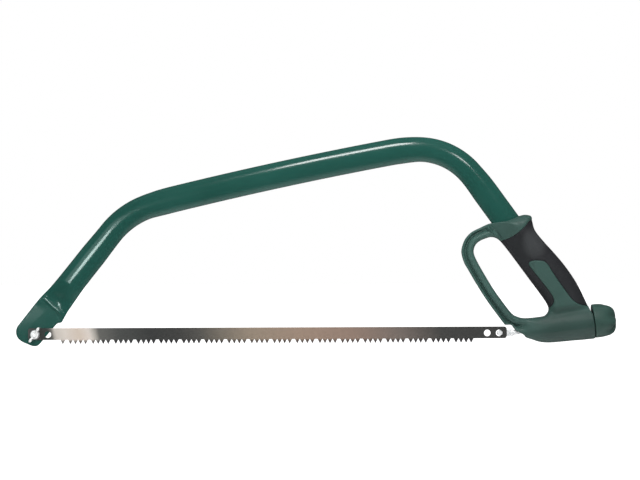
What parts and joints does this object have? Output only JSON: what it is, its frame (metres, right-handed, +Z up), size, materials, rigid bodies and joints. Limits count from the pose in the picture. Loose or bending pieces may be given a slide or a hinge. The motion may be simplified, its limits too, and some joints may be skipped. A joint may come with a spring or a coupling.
{
  "type": "bow saw",
  "caption": "Bow saw with an oval-tube bow, peg-tooth blade held by a nose screw with wing nut, screw tensioner with rear knob, and a two-part handle with knuckle guard.",
  "frame": {"origin": "middle of the hand grip, on the axis of the bow tube's rear leg and in the tube's mid-plane", "axes": "+X from the nose to the handle, along the blade; +Y away from the blade's side of the nose; +Z up, from the blade to the bow's crown"},
  "size_m": [0.6879, 0.039, 0.2386],
  "materials": {
    "gloss_green_paint": "gloss powder coat",
    "green_plastic": "satin moulded",
    "black_rubber": "matte",
    "blade_steel": "ground and polished, hardened tooth tips",
    "zinc_plate": "bright zinc"
  },
  "bodies": {
    "frame": {"frame_tube": "gloss_green_paint", "handle_body": "green_plastic", "grip_overmould": "black_rubber", "front_screw": "zinc_plate", "thrust_washer": "zinc_plate"},
    "knob": {"tension_knob": "green_plastic", "knob_nut": "zinc_plate"},
    "rod": {"draw_rod": "zinc_plate"},
    "nose_washer": {"front_washer": "zinc_plate"},
    "wing": {"wing_nut": "zinc_plate"},
    "saw_blade": {"blade": "blade_steel"}
  },
  "joints": [
    {"name": "knob_turn", "type": "hinge", "parent": "frame", "child": "knob", "pos_m": [0.0644, 0, -0.06627], "axis": [0.9905, 0, 0.1374], "range_deg": [0, 540]},
    {"name": "rod_travel", "type": "slide", "parent": "frame", "child": "rod", "axis": [0.9905, 0, 0.1374], "range_m": [-0.0015, 0]},
    {"name": "washer_off", "type": "slide", "parent": "frame", "child": "nose_washer", "axis": [0, -1, 0], "range_m": [0, 0.0144]},
    {"name": "wing_turn", "type": "hinge", "parent": "nose_washer", "child": "wing", "pos_m": [-0.575, -0.0035, -0.0793], "axis": [0, -1, 0], "range_deg": [0, 6480]},
    {"name": "blade_off", "type": "slide", "parent": "frame", "child": "saw_blade", "axis": [0, -1, 0], "range_m": [0, 0.0108]}
  ],
  "couplings": [
    {"joint": "rod_travel", "follows": "knob_turn", "m_per_rad": -0.00015915},
    {"joint": "wing_turn", "follows": "washer_off", "rad_per_m": 7854},
    {"joint": "blade_off", "follows": "washer_off", "ratio": 0.75}
  ]
}
